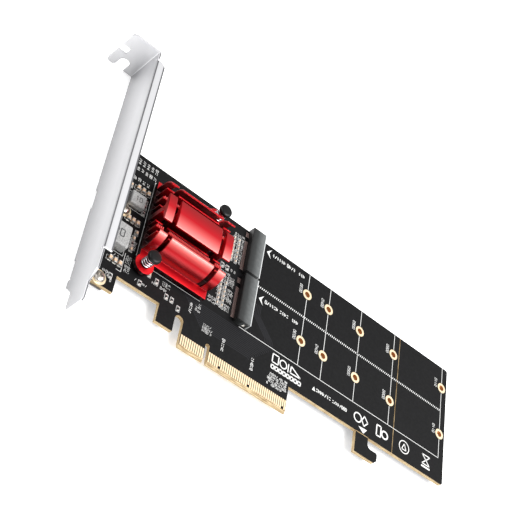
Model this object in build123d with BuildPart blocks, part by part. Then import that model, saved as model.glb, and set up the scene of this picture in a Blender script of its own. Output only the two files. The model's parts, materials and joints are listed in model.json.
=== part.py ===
from build123d import *
from math import cos, pi, radians, sin, tan
import os

os.makedirs("parts", exist_ok=True)

# All sizes are in millimetres. The origin is the centre line of the key notch, at the bottom edge
# of the connector tongue, midway through the board. +X runs away from the bracket, +Y runs up the
# bracket and +Z is the side that carries the parts. Heights are above the board's front face.

# Board outline
board_thickness = 1.57
board_right = 124.9
board_bottom = 12.1
board_top = 68.9
board_corner = 1.0
bracket_gap = 0.9
front = board_thickness / 2
back = -board_thickness / 2

# Connector tongue and its contacts
pin_pitch = 1.0
pins_before_key = 11
pins_after_key = 38
first_pin_from_key = 1.5
pin_edge_margin = 0.65
pad_width = 0.7
pad_length = 4.3
short_pad_length = 3.2
pad_thickness = 0.05
bevel_height = 1.3
bevel_angle = 20
key_notch_width = 1.9
key_notch_height = 8.4
front_short_pins = (17, 31, 48)
back_short_pins = (1,)
pin_x = [-first_pin_from_key - pin_pitch * n for n in reversed(range(pins_before_key))]
pin_x += [first_pin_from_key + pin_pitch * n for n in range(pins_after_key)]
tongue_left = pin_x[0] - pin_edge_margin
tongue_right = pin_x[-1] + pin_edge_margin

# Tabs and slot between the tongue and the bracket
slot_width = 3.8
slot_top = 12.4
bridge_width = 7.55
bridge_bottom = 4.4
foot_tab_right = -42.4
foot_tab_bottom = 4.6
bridge_right = tongue_left - slot_width
bridge_left = bridge_right - bridge_width

# Retention hook
hook_left = 75.1
hook_stem = 6.8
hook_bottom = 2.8
hook_reach = 5.5
hook_foot_top = 7.6
hook_inner_radius = 1.9
hook_toe_radius = 0.9
hook_toe_cut = 1.5
hook_stem_right = hook_left + hook_stem
hook_toe = hook_stem_right + hook_reach

# Snap-off grooves
score_x = 95.2
score_width = 0.3
score_depth = 0.2

# Drive sockets and drive screw holes
drive_datum = 11.8
drive_lengths = (30, 42, 60, 80, 110)
contact_places = 75
contact_pitch = 0.25
contact_margin = 0.75
socket_end_wall = 0.95
socket_gap = 1.3
upper_row = 58.3
first_contact = -contact_pitch * (contact_places - 1) / 2
socket_width = 2 * (contact_margin + socket_end_wall - first_contact)
rows = (upper_row, upper_row - socket_width - socket_gap)
drive_holes = [(drive_datum + length, row) for length in drive_lengths for row in rows]
drive_hole_radius = 1.3
drive_ring_radius = 2.3
ring_thickness = 0.05
ring_sides = 12
hole_sides = 12
turned_sides = 20

socket_back = 8.5
socket_depth = 6.5
socket_height = 3.2
socket_corner = 0.25
card_slot_low = 1.15
card_slot = 1.0
socket_roof = 0.35
socket_floor = 0.3
back_wall = 1.0
spring_room = 1.9
mouth_depth = 1.4
mouth_flare = 0.4
socket_mouth = socket_back + socket_depth
floor_back = socket_back + spring_room
contact_stop = socket_mouth - mouth_depth
card_slot_high = card_slot_low + card_slot

# Contacts of the sockets: odd places lie above the drive's card, even ones below, none at the key
key_first = 59
key_last = 66
open_places = [place for place in range(1, round(contact_places) + 1)
               if place < key_first or place > key_last]
contact_width = 0.2
contact_thickness = 0.15
contact_air = 0.05
tail_length = 1.3

# Key rib and locating pegs, set in from the socket's mouth
key_rib_offset = first_contact + contact_pitch * ((key_first + key_last) / 2 - 1)
key_rib_width = 0.9
key_peg_inset = 2.2
key_peg_radius = 0.7
end_peg_inset = 3.6
end_peg_radius = 0.4
peg_clearance = 0.08
socket_pegs = ((socket_mouth - key_peg_inset, key_rib_offset, key_peg_radius),
               (socket_mouth - end_peg_inset, (socket_end_wall - socket_width) / 2, end_peg_radius))

# Hold-down tabs at the ends of the sockets
hold_down_inset = 1.6
hold_down_width = 1.8
hold_down_recess = 1.0
hold_down_sheet = 0.25
hold_down_height = 2.2
hold_down_foot = 0.5
hold_down_x = socket_mouth - hold_down_inset

# Bracket
bracket_face = -57.15
sheet = 0.86
bend_radius = 0.4
bracket_low = -4.12
bracket_width = 18.42
tab_top = 107.85
tab_reach = 12.15
tab_corner = 2.0
tab_notch_low = 3.6
tab_notch_high = 6.9
tab_notch_depth = 3.7
screw_slot_width = 4.4
screw_slot_centre = 6.25
screw_slot_end = 1.6
arm_corner = 1.4
shoulder_cut = 4.1
shoulder_y = -0.4
tongue_tip = -12.17
tongue_width = 10.2
tip_cut = 1.0
flange_reach = 3.85
flange_bottom = 8.4
flange_top = 103.0
flange_cut = 1.6
relief_height = 0.9
relief_depth = 1.3
ear_width = 7.2
ear_slope = 45
ear_reach = 3.4
ear_bend_start = 2.4
ear_corner = 1.6
bracket_screws = ((-46.9, 40.6), (-49.1, 7.3))
bracket_high = bracket_low + bracket_width
bracket_inner = bracket_face + sheet
selection_slack = 0.01
tab_end = bracket_face - tab_reach
board_left = bracket_inner + bracket_gap

# Bracket screws
screw_radius = 1.25
screw_clearance = 0.15
thread_clearance = 0.03
screw_head_radius = 2.3
screw_head_height = 1.5
screw_head_flat = 1.5
screw_head_rim = 0.6
screw_tip = 1.0

# Heatsink, measured out from its own middle and up from the board's front face. A fin has its place
# as a share of the way out to the blades, its thickness and the height of its top
heatsink_x = -22.15
heatsink_y = 41.4
heatsink_length = 30.5
chip_side = 19.0
chip_cap_side = 16.0
chip_substrate = 0.45
chip_height = 0.95
thermal_pad = 0.2
base_half = 18.3
base_lip = 3.6
base_thickness = 1.65
stem_width = 2.4
canopy_half = 6.0
canopy_top = 13.9
canopy_edge_top = 13.4
canopy_edge = 0.8
canopy_root = 2.0
fins = ((0.252, 0.6, 7.5), (0.463, 1.1, 8.8), (0.714, 0.6, 10.1))
blade_top = 12.6
blade_lean = 2.8
blade_bulge = 0.05
blade_belly_height = 7.9
blade_thickness = 0.8
cut_width = 2.1
end_piece = 3.4
lobe_inset = 2.85
lobe_overhang = 1.7
lobe_radius = 4.0
pin_hole_radius = 1.75
blade_foot_out = base_half - base_lip
blade_belly_out = blade_foot_out + blade_bulge
blade_top_out = blade_foot_out - blade_lean
lobe_x = heatsink_length / 2 - lobe_inset
lobe_y = base_half + lobe_overhang
base_low = chip_height + thermal_pad
base_high = base_low + base_thickness
cut_offset = heatsink_length / 2 - end_piece - cut_width / 2

# Push pins and their springs
pin_radius = 1.45
board_pin_hole = 1.6
pin_head_radius = 2.75
pin_head_low = 7.9
pin_head_rim = 0.6
pin_head_dome = 1.0
pin_head_flat = 1.5
barb_radius = 1.95
barb_length = 1.9
barb_tip_radius = 0.9
spring_radius = 1.85
spring_wire = 0.25
spring_turns = 4
spring_sides = 12
wire_sides = 4
spring_air = 0.03
pin_places = {"lower": (heatsink_x - lobe_x, heatsink_y - lobe_y),
              "upper": (heatsink_x + lobe_x, heatsink_y + lobe_y)}

# Power parts: middle along X and Y, length along X and Y, height
large_inductor = (-48.1, 26.9, 10.0, 10.2, 4.0)
small_inductor = (-43.25, 46.5, 6.5, 6.2, 2.6)
inductor_edge = 0.4
terminal_width = 0.45
terminal_sheet = 0.15
terminal_rise = 0.35
regulator = (-51.6, 17.6, 3.4, 4.0, 0.9)
chip_edge = 0.12
memory_chip = (-44.5, 30.0, 4.9, 3.9, 1.5)
memory_lead_rank = (-1.5, -0.5, 0.5, 1.5)
memory_lead_pitch = 1.27
memory_lead_width = 0.4
memory_lead_reach = 1.05
memory_lead_sheet = 0.2
memory_lead_height = 0.7
crystal = (-44.5, 50.0, 3.2, 2.5, 0.8)
crystal_lid_inset = 0.25
crystal_base = 0.35

# Small parts: length, width and height of each kind, and the middles of the places that take it
large_capacitor = (2.0, 1.25, 1.2)
large_capacitor_places = ((-43.75, 53.3), (-41.45, 53.3), (-39.15, 53.3), (-44.3, 37.9),
                          (-42.3, 37.9), (-40.3, 37.9), (-47.1, 17.2), (-45.0, 17.2), (-42.9, 17.2))
medium_capacitor = (1.6, 0.8, 0.8)
medium_capacitor_places = ((-46.6, 52.9), (-39.4, 34.0), (-30.2, 20.8), (-40.0, 31.0), (-40.0, 26.0))
coupling_capacitor = (1.0, 0.5, 0.5)
coupling_pitch_x = 2.3
coupling_pitch_y = 2.1
coupling_blocks = ((3.5, 56.0, 2, 6), (1.2, 33.0, 2, 6))
resistor = (1.6, 0.8, 0.45)
resistor_places = ((-38.9, 46.9), (-38.9, 49.2), (-38.9, 43.9), (-40.0, 28.6), (-26.6, 19.9),
                   (-21.4, 16.4), (-18.9, 16.4), (-15.6, 14.6), (-33.2, 15.0), (-44.9, 10.6),
                   (1.6, 45.4), (-0.9, 45.4))
cap_share = 0.22
cap_skin = 0.04


def above(height):
    return Plane.XY.offset(front + height)


def below(depth):
    return Plane.XY.offset(back - depth)


def many_sided(radius, mode=Mode.ADD):
    return RegularPolygon(radius, hole_sides, major_radius=False, mode=mode)


def turned(centre, profile):
    """A small turned form, many-sided, from the heights and radii of its profile, lowest first."""
    with BuildPart() as form:
        for (low, low_radius), (high, high_radius) in zip(profile, profile[1:]):
            if high > low:
                for height, radius in ((low, low_radius), (high, high_radius)):
                    with BuildSketch(Plane.XY.offset(height)):
                        with Locations(centre):
                            RegularPolygon(radius, turned_sides)
                loft(ruled=True)
    return form.part


def through_sheet(edge):
    return edge.length < sheet + selection_slack


# Board with its tongue, tabs, hook and holes
with BuildPart() as pcb:
    with BuildSketch(Plane.XY.offset(back)):
        with Locations((board_left, board_bottom)):
            panel = Rectangle(board_right - board_left, board_top - board_bottom,
                              align=(Align.MIN, Align.MIN))
        fillet(panel.vertices().group_by(Axis.X)[-1], board_corner)
        with Locations((tongue_left, 0)):
            Rectangle(tongue_right - tongue_left, board_bottom, align=(Align.MIN, Align.MIN))
        with Locations((bridge_left, bridge_bottom)):
            Rectangle(tongue_left - bridge_left, board_bottom - bridge_bottom,
                      align=(Align.MIN, Align.MIN))
        with Locations((board_left, foot_tab_bottom)):
            Rectangle(foot_tab_right - board_left, board_bottom - foot_tab_bottom,
                      align=(Align.MIN, Align.MIN))
        with BuildLine():
            hook = FilletPolyline((hook_left, board_bottom), (hook_left, hook_bottom),
                                  (hook_toe - hook_toe_cut, hook_bottom),
                                  (hook_toe, hook_bottom + hook_toe_cut), (hook_toe, hook_foot_top),
                                  (hook_stem_right, hook_foot_top), (hook_stem_right, board_bottom),
                                  radius=(0, 0, 0, hook_toe_radius, hook_inner_radius))
            Line(hook @ 1, hook @ 0)
        make_face()
        with Locations((0, 0)):
            SlotOverall(2 * key_notch_height, key_notch_width, rotation=90, mode=Mode.SUBTRACT)
        with Locations((tongue_left - slot_width / 2, 0)):
            SlotOverall(2 * slot_top, slot_width, rotation=90, mode=Mode.SUBTRACT)
        with Locations(*drive_holes):
            Circle(drive_hole_radius, mode=Mode.SUBTRACT)
        with Locations(*bracket_screws):
            many_sided(screw_radius + screw_clearance, Mode.SUBTRACT)
        with Locations(*pin_places.values()):
            many_sided(board_pin_hole, Mode.SUBTRACT)
        for row in rows:
            for peg_x, peg_y, peg_radius in socket_pegs:
                with Locations((peg_x, row + peg_y)):
                    many_sided(peg_radius + peg_clearance, Mode.SUBTRACT)
    extrude(amount=board_thickness)
    # The tongue's edge is bevelled on both faces
    bevel_inset = bevel_height * tan(radians(bevel_angle))
    with BuildSketch(Plane.YZ.offset(tongue_left)):
        for face in (front, back):
            with BuildLine():
                Polyline((0, face), (bevel_height, face),
                         (0, face - bevel_inset if face > 0 else face + bevel_inset), close=True)
            make_face()
    extrude(amount=tongue_right - tongue_left, mode=Mode.SUBTRACT)
    # Snap-off grooves run across the board and across the root of the hook
    with BuildSketch(Plane.XZ.offset(-board_top)):
        for face in (front, back):
            with BuildLine():
                Polyline((score_x - score_width / 2, face), (score_x + score_width / 2, face),
                         (score_x, face - score_depth if face > 0 else face + score_depth), close=True)
            make_face()
    extrude(amount=board_top - board_bottom, mode=Mode.SUBTRACT)
    with BuildSketch(Plane.YZ.offset(hook_left)):
        for face in (front, back):
            with BuildLine():
                Polyline((board_bottom - score_width / 2, face), (board_bottom + score_width / 2, face),
                         (board_bottom, face - score_depth if face > 0 else face + score_depth), close=True)
            make_face()
    extrude(amount=hook_stem, mode=Mode.SUBTRACT)
pcb.part.label = "pcb"
export_step(pcb.part, "parts/pcb.step")

# Gold contacts on both faces of the tongue, some of them short
for name, plane, short_pins in (("edge_contacts_front", Plane.XY.offset(front), front_short_pins),
                                ("edge_contacts_back", Plane.XY.offset(back - pad_thickness),
                                 back_short_pins)):
    pad_top = bevel_height + pad_length
    short_x = [x for number, x in enumerate(pin_x, start=1) if number in short_pins]
    with BuildPart() as contacts:
        with BuildSketch(plane):
            with Locations(*[(x, pad_top) for x in pin_x if x not in short_x]):
                Rectangle(pad_width, pad_length, align=(Align.CENTER, Align.MAX))
            with Locations(*[(x, pad_top) for x in short_x]):
                Rectangle(pad_width, short_pad_length, align=(Align.CENTER, Align.MAX))
        extrude(amount=pad_thickness)
    contacts.part.label = name
    export_step(contacts.part, "parts/" + name + ".step")

# Plated rings round the holes for the drive screws
with BuildPart() as screw_hole_rings:
    with BuildSketch(above(0)):
        with Locations(*drive_holes):
            RegularPolygon(drive_ring_radius, ring_sides)
            RegularPolygon(drive_hole_radius, ring_sides, major_radius=False, mode=Mode.SUBTRACT)
    extrude(amount=ring_thickness)
screw_hole_rings.part.label = "screw_hole_rings"
export_step(screw_hole_rings.part, "parts/screw_hole_rings.step")

# Bracket, folded from one sheet
with BuildPart() as bracket:
    # Plate and top tab share one bent section, run across the full width
    with BuildSketch(Plane.XY.offset(bracket_low)):
        with BuildLine():
            FilletPolyline((bracket_face, tongue_tip), (bracket_inner, tongue_tip),
                           (bracket_inner, tab_top), (tab_end, tab_top),
                           (tab_end, tab_top - sheet), (bracket_face, tab_top - sheet),
                           radius=(0, 0, bend_radius + sheet, 0, 0, bend_radius), close=True)
        make_face()
    extrude(amount=bracket_width)
    # Lower end: two shoulders and a narrow tongue with cut corners
    with BuildSketch(Plane.YZ.offset(bracket_face)):
        for edge, inward in ((bracket_low, 1), (bracket_high, -1)):
            side = edge + inward * (bracket_width - tongue_width) / 2
            with BuildLine():
                Polyline((shoulder_y, edge), (shoulder_y - shoulder_cut, side),
                         (tongue_tip + tip_cut, side), (tongue_tip, side + inward * tip_cut),
                         (tongue_tip - sheet, side + inward * tip_cut), (tongue_tip - sheet, edge - inward),
                         (shoulder_y, edge - inward), close=True)
            make_face()
    extrude(amount=sheet, mode=Mode.SUBTRACT)
    # Top tab: locating notch in its far edge, screw slot open to one side
    with BuildSketch(Plane.XZ.offset(-tab_top)):
        with Locations((tab_end, tab_notch_low)):
            Rectangle(tab_notch_depth, tab_notch_high - tab_notch_low, align=(Align.MIN, Align.MIN))
        with Locations((bracket_face - screw_slot_centre, bracket_low)):
            SlotOverall(2 * (screw_slot_end - bracket_low), screw_slot_width, rotation=90)
    extrude(amount=sheet, mode=Mode.SUBTRACT)
    tab_edges = bracket.edges().filter_by(Axis.Y).filter_by(through_sheet)
    fillet(tab_edges.group_by(Axis.X)[0].sort_by(Axis.Z)[-1], tab_corner)
    fillet(tab_edges.group_by(Axis.Z)[0].sort_by(Axis.X)[0:2], arm_corner)
    # The plate's edges are cut back where the flange and the ears bend off, with a relief at each end
    with BuildSketch(Plane.YZ.offset(bracket_face)):
        with Locations(((flange_bottom + flange_top) / 2, bracket_high)):
            Rectangle(flange_top - flange_bottom + 2 * relief_height, relief_depth,
                      align=(Align.CENTER, Align.MAX))
        with Locations(*[(screw_y, bracket_low) for screw_x, screw_y in bracket_screws]):
            Rectangle(ear_width + 2 * relief_height, relief_depth, align=(Align.CENTER, Align.MIN))
    extrude(amount=sheet, mode=Mode.SUBTRACT)
    # Side flange along the component edge
    with BuildSketch(Plane.XZ.offset(-flange_top)):
        with BuildLine():
            FilletPolyline((bracket_face, bracket_high - relief_depth), (bracket_face, bracket_high),
                           (bracket_face + flange_reach, bracket_high),
                           (bracket_face + flange_reach, bracket_high - sheet),
                           (bracket_inner, bracket_high - sheet),
                           (bracket_inner, bracket_high - relief_depth),
                           radius=(0, bend_radius + sheet, 0, 0, bend_radius, 0), close=True)
        make_face()
    extrude(amount=flange_top - flange_bottom)
    flange_ends = bracket.edges().filter_by(Axis.Z).group_by(Axis.X)[-1]
    chamfer(flange_ends.sort_by(Axis.Y)[-1], flange_cut)
    # Two stepped ears reach in under the board's back face
    ear_step = back - sheet - bracket_low
    step_start = bracket_face + ear_bend_start
    step_shift = sheet * tan(radians(ear_slope / 2))
    for screw_x, screw_y in bracket_screws:
        ear_end = screw_x + ear_reach
        with BuildSketch(Plane.XZ.offset(-screw_y)):
            with BuildLine():
                FilletPolyline((bracket_face, bracket_low + relief_depth), (bracket_face, bracket_low),
                               (step_start, bracket_low), (step_start + ear_step, back - sheet),
                               (ear_end, back - sheet), (ear_end, back),
                               (step_start + ear_step - step_shift, back),
                               (step_start - step_shift, bracket_low + sheet),
                               (bracket_inner, bracket_low + sheet),
                               (bracket_inner, bracket_low + relief_depth),
                               radius=(0, bend_radius + sheet, 0, 0, 0, 0, 0, 0, bend_radius, 0),
                               close=True)
            make_face()
        extrude(amount=ear_width / 2, both=True)
        ear_edges = bracket.edges().filter_by(Axis.Z).filter_by(through_sheet)
        fillet(ear_edges.filter_by(lambda edge: abs(edge.center().X - ear_end) < selection_slack),
               ear_corner)
    with BuildSketch(Plane.XY.offset(back)):
        with Locations(*bracket_screws):
            many_sided(screw_radius + thread_clearance)
    extrude(amount=-sheet, mode=Mode.SUBTRACT)
bracket.part.label = "bracket"
export_step(bracket.part, "parts/bracket.step")

# Two screws hold the board to the ears
screw_profile = ((back - sheet - screw_tip, screw_radius), (front, screw_radius),
                 (front, screw_head_radius), (front + screw_head_rim, screw_head_radius),
                 (front + screw_head_height, screw_head_flat))
with BuildPart() as bracket_screw_pair:
    for place in bracket_screws:
        add(turned(place, screw_profile))
bracket_screw_pair.part.label = "bracket_screws"
export_step(bracket_screw_pair.part, "parts/bracket_screws.step")

# Heatsink: one extruded section with fins, a capped stem and two curved outer blades
with BuildPart() as heatsink:
    end_plane = Plane(origin=(heatsink_x, heatsink_y, front), x_dir=(0, 1, 0), z_dir=(1, 0, 0))
    with BuildSketch(end_plane):
        with Locations((0, base_low)):
            Rectangle(2 * base_half, base_thickness, align=(Align.CENTER, Align.MIN))
        with Locations((0, base_high)):
            Rectangle(stem_width, canopy_edge_top - base_high, align=(Align.CENTER, Align.MIN))
        with BuildLine():
            ThreePointArc((-canopy_half, canopy_edge_top), (0, canopy_top), (canopy_half, canopy_edge_top))
            Polyline((canopy_half, canopy_edge_top), (canopy_half, canopy_edge_top - canopy_edge),
                     (stem_width / 2, canopy_edge_top - canopy_root),
                     (-stem_width / 2, canopy_edge_top - canopy_root),
                     (-canopy_half, canopy_edge_top - canopy_edge), (-canopy_half, canopy_edge_top))
        make_face()
        for side in (1, -1):
            for fin_share, fin_thickness, fin_top in fins:
                with Locations((side * fin_share * blade_foot_out, base_high)):
                    Rectangle(fin_thickness, fin_top - base_high, align=(Align.CENTER, Align.MIN))
            with BuildLine():
                outside = ThreePointArc((side * blade_foot_out, base_high),
                                        (side * blade_belly_out, blade_belly_height),
                                        (side * blade_top_out, blade_top))
                inside = ThreePointArc((side * (blade_foot_out - blade_thickness), base_high),
                                       (side * (blade_belly_out - blade_thickness), blade_belly_height),
                                       (side * (blade_top_out - blade_thickness), blade_top))
                Line(outside @ 0, inside @ 0)
                Line(outside @ 1, inside @ 1)
            make_face()
    extrude(amount=heatsink_length / 2, both=True)
    # Two cuts across the fins leave a short piece at each end
    with BuildSketch(above(base_high)):
        with Locations((heatsink_x - cut_offset, heatsink_y), (heatsink_x + cut_offset, heatsink_y)):
            Rectangle(cut_width, 2 * base_half)
    extrude(amount=canopy_top, mode=Mode.SUBTRACT)
    # Lobes for the two push pins, at opposite corners of the base
    with BuildSketch(above(base_low)):
        for side in (1, -1):
            with Locations((heatsink_x + side * lobe_x, heatsink_y + side * lobe_y)):
                Circle(lobe_radius)
    extrude(amount=base_thickness)
    # A hole through each lobe for its pin
    with BuildSketch(above(base_low)):
        with Locations(*pin_places.values()):
            many_sided(pin_hole_radius)
    extrude(amount=base_thickness, mode=Mode.SUBTRACT)
heatsink.part.label = "heatsink"
export_step(heatsink.part, "parts/heatsink.step")

# Switch chip: a substrate with a moulded cap, and the pad between it and the heatsink
with BuildPart() as switch_chip:
    with BuildSketch(above(0)):
        with Locations((heatsink_x, heatsink_y)):
            Rectangle(chip_side, chip_side)
    extrude(amount=chip_substrate)
    with BuildSketch(above(chip_substrate)):
        with Locations((heatsink_x, heatsink_y)):
            Rectangle(chip_cap_side, chip_cap_side)
    extrude(amount=chip_height - chip_substrate)
switch_chip.part.label = "switch_chip"
export_step(switch_chip.part, "parts/switch_chip.step")

with BuildPart() as pad:
    with BuildSketch(above(chip_height)):
        with Locations((heatsink_x, heatsink_y)):
            Rectangle(chip_cap_side, chip_cap_side)
    extrude(amount=thermal_pad)
pad.part.label = "thermal_pad"
export_step(pad.part, "parts/thermal_pad.step")

# Push pins with a barb below the board, each with a coil spring between its head and the lobe
coil_steps = round(spring_turns * spring_sides)
spring_low = front + base_high + spring_wire + spring_air
spring_high = front + pin_head_low - spring_wire - spring_air
pin_profile = ((back - barb_length, barb_tip_radius), (back, barb_radius), (back, pin_radius),
               (front + pin_head_low, pin_radius), (front + pin_head_low, pin_head_radius),
               (front + pin_head_low + pin_head_rim, pin_head_radius),
               (front + pin_head_low + pin_head_rim + pin_head_dome, pin_head_flat))
for place, (pin_centre_x, pin_centre_y) in pin_places.items():
    with BuildPart() as push_pin:
        add(turned((pin_centre_x, pin_centre_y), pin_profile))
    push_pin.part.label = "push_pin_" + place
    export_step(push_pin.part, "parts/push_pin_" + place + ".step")

    coil_points = [(pin_centre_x + spring_radius * cos(2 * pi * step / spring_sides),
                    pin_centre_y + spring_radius * sin(2 * pi * step / spring_sides),
                    spring_low + (spring_high - spring_low) * step / coil_steps)
                   for step in range(coil_steps + 1)]
    with BuildPart() as spring:
        with BuildLine() as coil:
            Polyline(*coil_points)
        with BuildSketch(Plane(origin=coil.line @ 0, z_dir=coil.line % 0)):
            RegularPolygon(spring_wire, wire_sides)
        sweep(transition=Transition.RIGHT)
    spring.part.label = "pin_spring_" + place
    export_step(spring.part, "parts/pin_spring_" + place + ".step")

# Drive sockets: a roof and back wall over a front sill, joined by end walls and a key rib
for place, row in zip(("upper", "lower"), rows):
    inner_width = socket_width - 2 * socket_end_wall
    with BuildPart() as socket:
        with BuildSketch(Plane.XZ.offset(-row)):
            with BuildLine():
                Polyline((socket_back, front + socket_floor),
                         (socket_back, front + socket_height - socket_corner),
                         (socket_back + socket_corner, front + socket_height),
                         (socket_mouth, front + socket_height),
                         (socket_mouth, front + card_slot_high + mouth_flare / 2),
                         (socket_mouth - mouth_flare, front + card_slot_high),
                         (contact_stop, front + card_slot_high),
                         (contact_stop, front + socket_height - socket_roof),
                         (socket_back + back_wall, front + socket_height - socket_roof),
                         (socket_back + back_wall, front + socket_floor), close=True)
            make_face()
            with BuildLine():
                Polyline((contact_stop, front + socket_floor), (contact_stop, front + card_slot_low),
                         (socket_mouth - mouth_flare, front + card_slot_low),
                         (socket_mouth, front + card_slot_low - mouth_flare / 2),
                         (socket_mouth, front + socket_floor), close=True)
            make_face()
        extrude(amount=inner_width / 2, both=True)
        with BuildSketch(Plane.XZ.offset(-row - socket_width / 2),
                         Plane.XZ.offset(-row + inner_width / 2)):
            with BuildLine():
                Polyline((socket_back, front), (socket_back, front + socket_height - socket_corner),
                         (socket_back + socket_corner, front + socket_height),
                         (socket_mouth, front + socket_height), (socket_mouth, front), close=True)
            make_face()
        extrude(amount=socket_end_wall)
        with BuildSketch(Plane.XZ.offset(-row - key_rib_offset - key_rib_width / 2)):
            with Locations((floor_back, front + socket_floor)):
                Rectangle(socket_mouth - mouth_flare - floor_back, socket_height - socket_floor,
                          align=(Align.MIN, Align.MIN))
        extrude(amount=key_rib_width)
        with BuildSketch(Plane.XY.offset(back)):
            for peg_x, peg_y, peg_radius in socket_pegs:
                with Locations((peg_x, row + peg_y)):
                    many_sided(peg_radius)
        extrude(amount=board_thickness + socket_floor)
        # Pockets in the ends for the hold-down tabs
        with BuildSketch(above(0)):
            for side in (1, -1):
                with Locations((hold_down_x, row + side * (socket_width - hold_down_recess) / 2)):
                    Rectangle(hold_down_width, hold_down_recess)
        extrude(amount=hold_down_height, mode=Mode.SUBTRACT)
    socket.part.label = "m2_socket_" + place
    export_step(socket.part, "parts/m2_socket_" + place + ".step")

    # An upper contact runs from its tail up the back wall to the roof. A lower one is a leaf that
    # rises from the board, where its tail runs out under the sill, to the drive's card
    riser = socket_back + back_wall + contact_air
    roof = front + socket_height - socket_roof - contact_air
    leaf_tip = front + card_slot_low - contact_thickness
    with BuildPart() as contacts:
        for number in open_places:
            y = row + first_contact + contact_pitch * (number - 1)
            with BuildSketch(Plane.XZ.offset(-y)):
                with BuildLine():
                    if number % 2 == 1:
                        Polyline((socket_back - tail_length, front), (riser + contact_thickness, front),
                                 (riser + contact_thickness, roof), (riser, roof),
                                 (riser, front + contact_thickness), close=True)
                    else:
                        Polyline((socket_mouth + tail_length / 2, front), (floor_back, front),
                                 (contact_stop - 2 * contact_air, leaf_tip),
                                 (contact_stop - contact_air, front + contact_thickness), close=True)
                make_face()
        extrude(amount=contact_width / 2, both=True)
    contacts.part.label = "m2_contacts_" + place
    export_step(contacts.part, "parts/m2_contacts_" + place + ".step")

# Hold-down tabs: a leaf against the pocket's wall and a foot on the board, two to a socket
with BuildPart() as m2_hold_downs:
    for row in rows:
        for side in (1, -1):
            wall = row + side * (socket_width / 2 - hold_down_recess)
            with BuildSketch(above(0)):
                with Locations((hold_down_x, wall + side * hold_down_sheet / 2)):
                    Rectangle(hold_down_width - 2 * contact_air, hold_down_sheet)
            extrude(amount=hold_down_height - contact_air)
            with BuildSketch(above(0)):
                with Locations((hold_down_x, wall + side * (hold_down_sheet + hold_down_foot) / 2)):
                    Rectangle(hold_down_width - 2 * contact_air, hold_down_sheet + hold_down_foot)
            extrude(amount=hold_down_sheet)
m2_hold_downs.part.label = "m2_hold_downs"
export_step(m2_hold_downs.part, "parts/m2_hold_downs.step")

# Moulded inductors and the terminals folded up their two sides
for name, (x, y, long_x, long_y, tall) in (("large", large_inductor), ("small", small_inductor)):
    with BuildPart() as inductor:
        with BuildSketch(above(0)):
            with Locations((x, y)):
                Rectangle(long_x, long_y - 2 * terminal_sheet)
        extrude(amount=tall)
        chamfer(inductor.faces().sort_by(Axis.Z)[-1].edges(), inductor_edge)
        chamfer(inductor.edges().filter_by(Axis.Z), inductor_edge)
    inductor.part.label = "inductor_" + name
    export_step(inductor.part, "parts/inductor_" + name + ".step")

with BuildPart() as inductor_terminals:
    for x, y, long_x, long_y, tall in (large_inductor, small_inductor):
        with BuildSketch(above(0)):
            for side in (1, -1):
                with Locations((x, y + side * (long_y - terminal_sheet) / 2)):
                    Rectangle(terminal_width * long_x, terminal_sheet)
        extrude(amount=terminal_rise * tall)
inductor_terminals.part.label = "inductor_terminals"
export_step(inductor_terminals.part, "parts/inductor_terminals.step")

# Regulator, crystal and memory chip
with BuildPart() as regulator_chip:
    x, y, long_x, long_y, tall = regulator
    with BuildSketch(above(0)):
        with Locations((x, y)):
            Rectangle(long_x, long_y)
    extrude(amount=tall)
    chamfer(regulator_chip.faces().sort_by(Axis.Z)[-1].edges(), chip_edge)
regulator_chip.part.label = "regulator_chip"
export_step(regulator_chip.part, "parts/regulator_chip.step")

with BuildPart() as clock_crystal:
    x, y, long_x, long_y, tall = crystal
    with BuildSketch(below(0)):
        with Locations((x, y)):
            Rectangle(long_x, long_y)
    extrude(amount=-crystal_base)
    with BuildSketch(below(crystal_base)):
        with Locations((x, y)):
            Rectangle(long_x - 2 * crystal_lid_inset, long_y - 2 * crystal_lid_inset)
    extrude(amount=crystal_base - tall)
clock_crystal.part.label = "clock_crystal"
export_step(clock_crystal.part, "parts/clock_crystal.step")

x, y, long_x, long_y, tall = memory_chip
with BuildPart() as memory_body:
    with BuildSketch(below(memory_lead_sheet)):
        with Locations((x, y)):
            Rectangle(long_x, long_y)
    extrude(amount=memory_lead_sheet - tall)
    chamfer(memory_body.faces().sort_by(Axis.Z)[0].edges(), chip_edge)
memory_body.part.label = "memory_chip"
export_step(memory_body.part, "parts/memory_chip.step")

lead_underside = back - memory_lead_height - memory_lead_sheet
with BuildPart() as memory_legs:
    for lead_share in memory_lead_rank:
        for side in (1, -1):
            shoulder = y + side * long_y / 2
            toe = shoulder + side * memory_lead_reach
            knee = shoulder + side * memory_lead_reach / 2
            with BuildSketch(Plane.YZ.offset(x + memory_lead_pitch * lead_share)):
                with BuildLine():
                    Polyline((shoulder, back - memory_lead_height), (knee, back - memory_lead_height),
                             (knee, back), (toe, back), (toe, back - memory_lead_sheet),
                             (knee + side * memory_lead_sheet, back - memory_lead_sheet),
                             (knee + side * memory_lead_sheet, lead_underside),
                             (shoulder, lead_underside), close=True)
                make_face()
            extrude(amount=memory_lead_width / 2, both=True)
memory_legs.part.label = "memory_leads"
export_step(memory_legs.part, "parts/memory_leads.step")

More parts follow.
